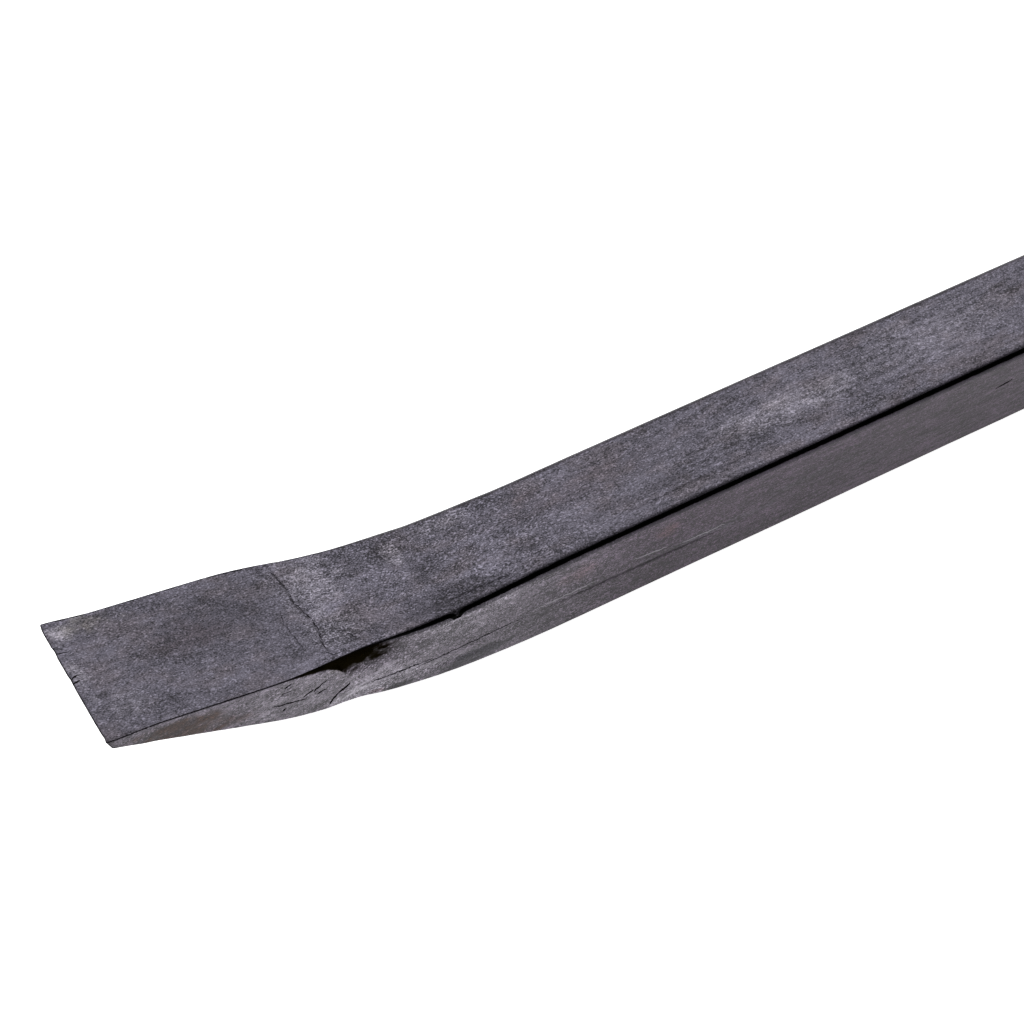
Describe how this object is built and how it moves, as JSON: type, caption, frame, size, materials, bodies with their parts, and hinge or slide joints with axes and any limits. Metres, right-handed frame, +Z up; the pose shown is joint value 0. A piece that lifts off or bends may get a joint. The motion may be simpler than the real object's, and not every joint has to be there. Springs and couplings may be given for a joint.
{
  "type": "pry bar",
  "caption": "One-piece forged steel pry bar: bent-up flared chisel blade with a heel below it, square shank and round tapered handle.",
  "frame": {"origin": "halfway along the bar, midway across it, on the plane that its square shank rests on", "axes": "+X along the bar from the blade's edge towards the handle's end, +Y across the bar, +Z up, the way the blade is bent"},
  "size_m": [0.9144, 0.0326, 0.0415],
  "materials": {
    "forged_steel": "matte"
  },
  "bodies": {
    "root": {"forged_bar": "forged_steel"}
  },
  "joints": []
}
